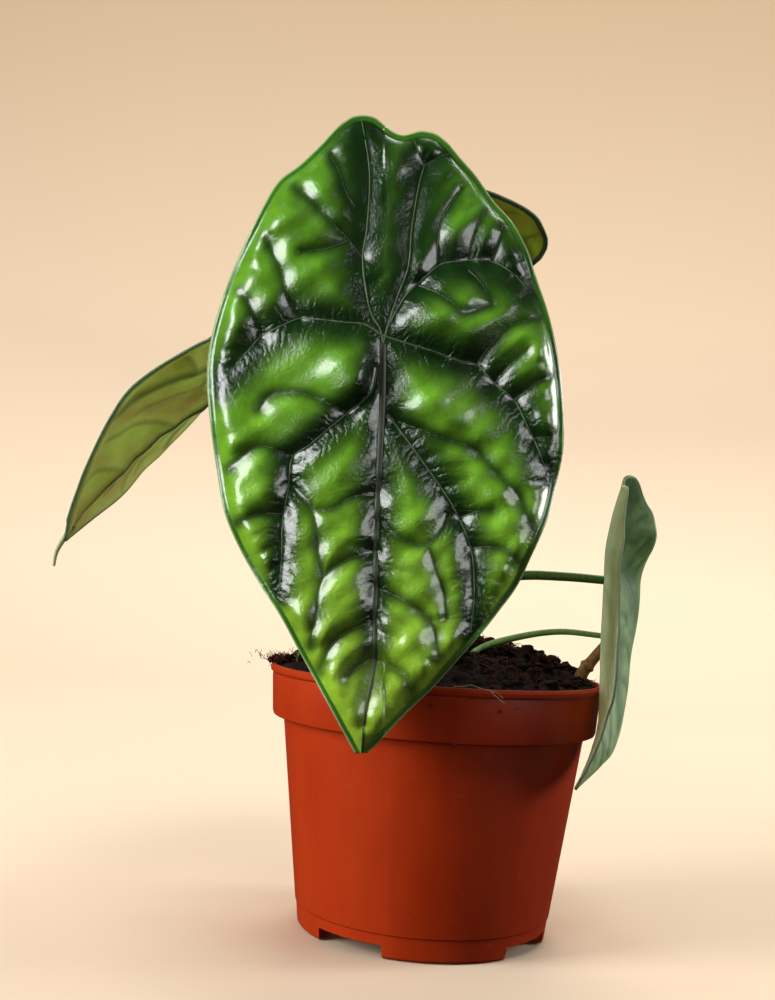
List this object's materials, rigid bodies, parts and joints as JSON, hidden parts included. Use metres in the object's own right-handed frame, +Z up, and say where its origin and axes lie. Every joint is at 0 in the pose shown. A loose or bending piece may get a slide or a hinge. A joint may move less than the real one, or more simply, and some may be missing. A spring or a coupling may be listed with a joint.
{
  "type": "potted alocasia sinuata",
  "caption": "Young aroid house plant with glossy, deeply quilted arrow-shaped blades on slim petioles, growing from a crown in a small moulded nursery pot with a banded rim.",
  "frame": {"origin": "centre of the pot's underside, on the plane that its foot rests on", "axes": "+Z up, -Y towards the side that the big blade faces, +X to the right of that view"},
  "size_m": [0.1306, 0.093, 0.1643],
  "materials": {
    "pot_plastic": "satin",
    "potting_mix": "matte",
    "crown": "matte",
    "petiole": "satin",
    "old_petiole": "satin",
    "dry_stub": "matte",
    "front_blade": "gloss",
    "rear_blade": "satin",
    "right_blade": "satin"
  },
  "bodies": {
    "root": {"pot": "pot_plastic", "potting_mix": "potting_mix", "crown": "crown", "front_petiole": "petiole", "rear_petiole": "petiole", "right_petiole": "petiole", "old_petiole": "old_petiole", "dry_stub": "dry_stub", "front_blade": "front_blade", "rear_blade": "rear_blade", "right_blade": "right_blade"}
  },
  "joints": []
}
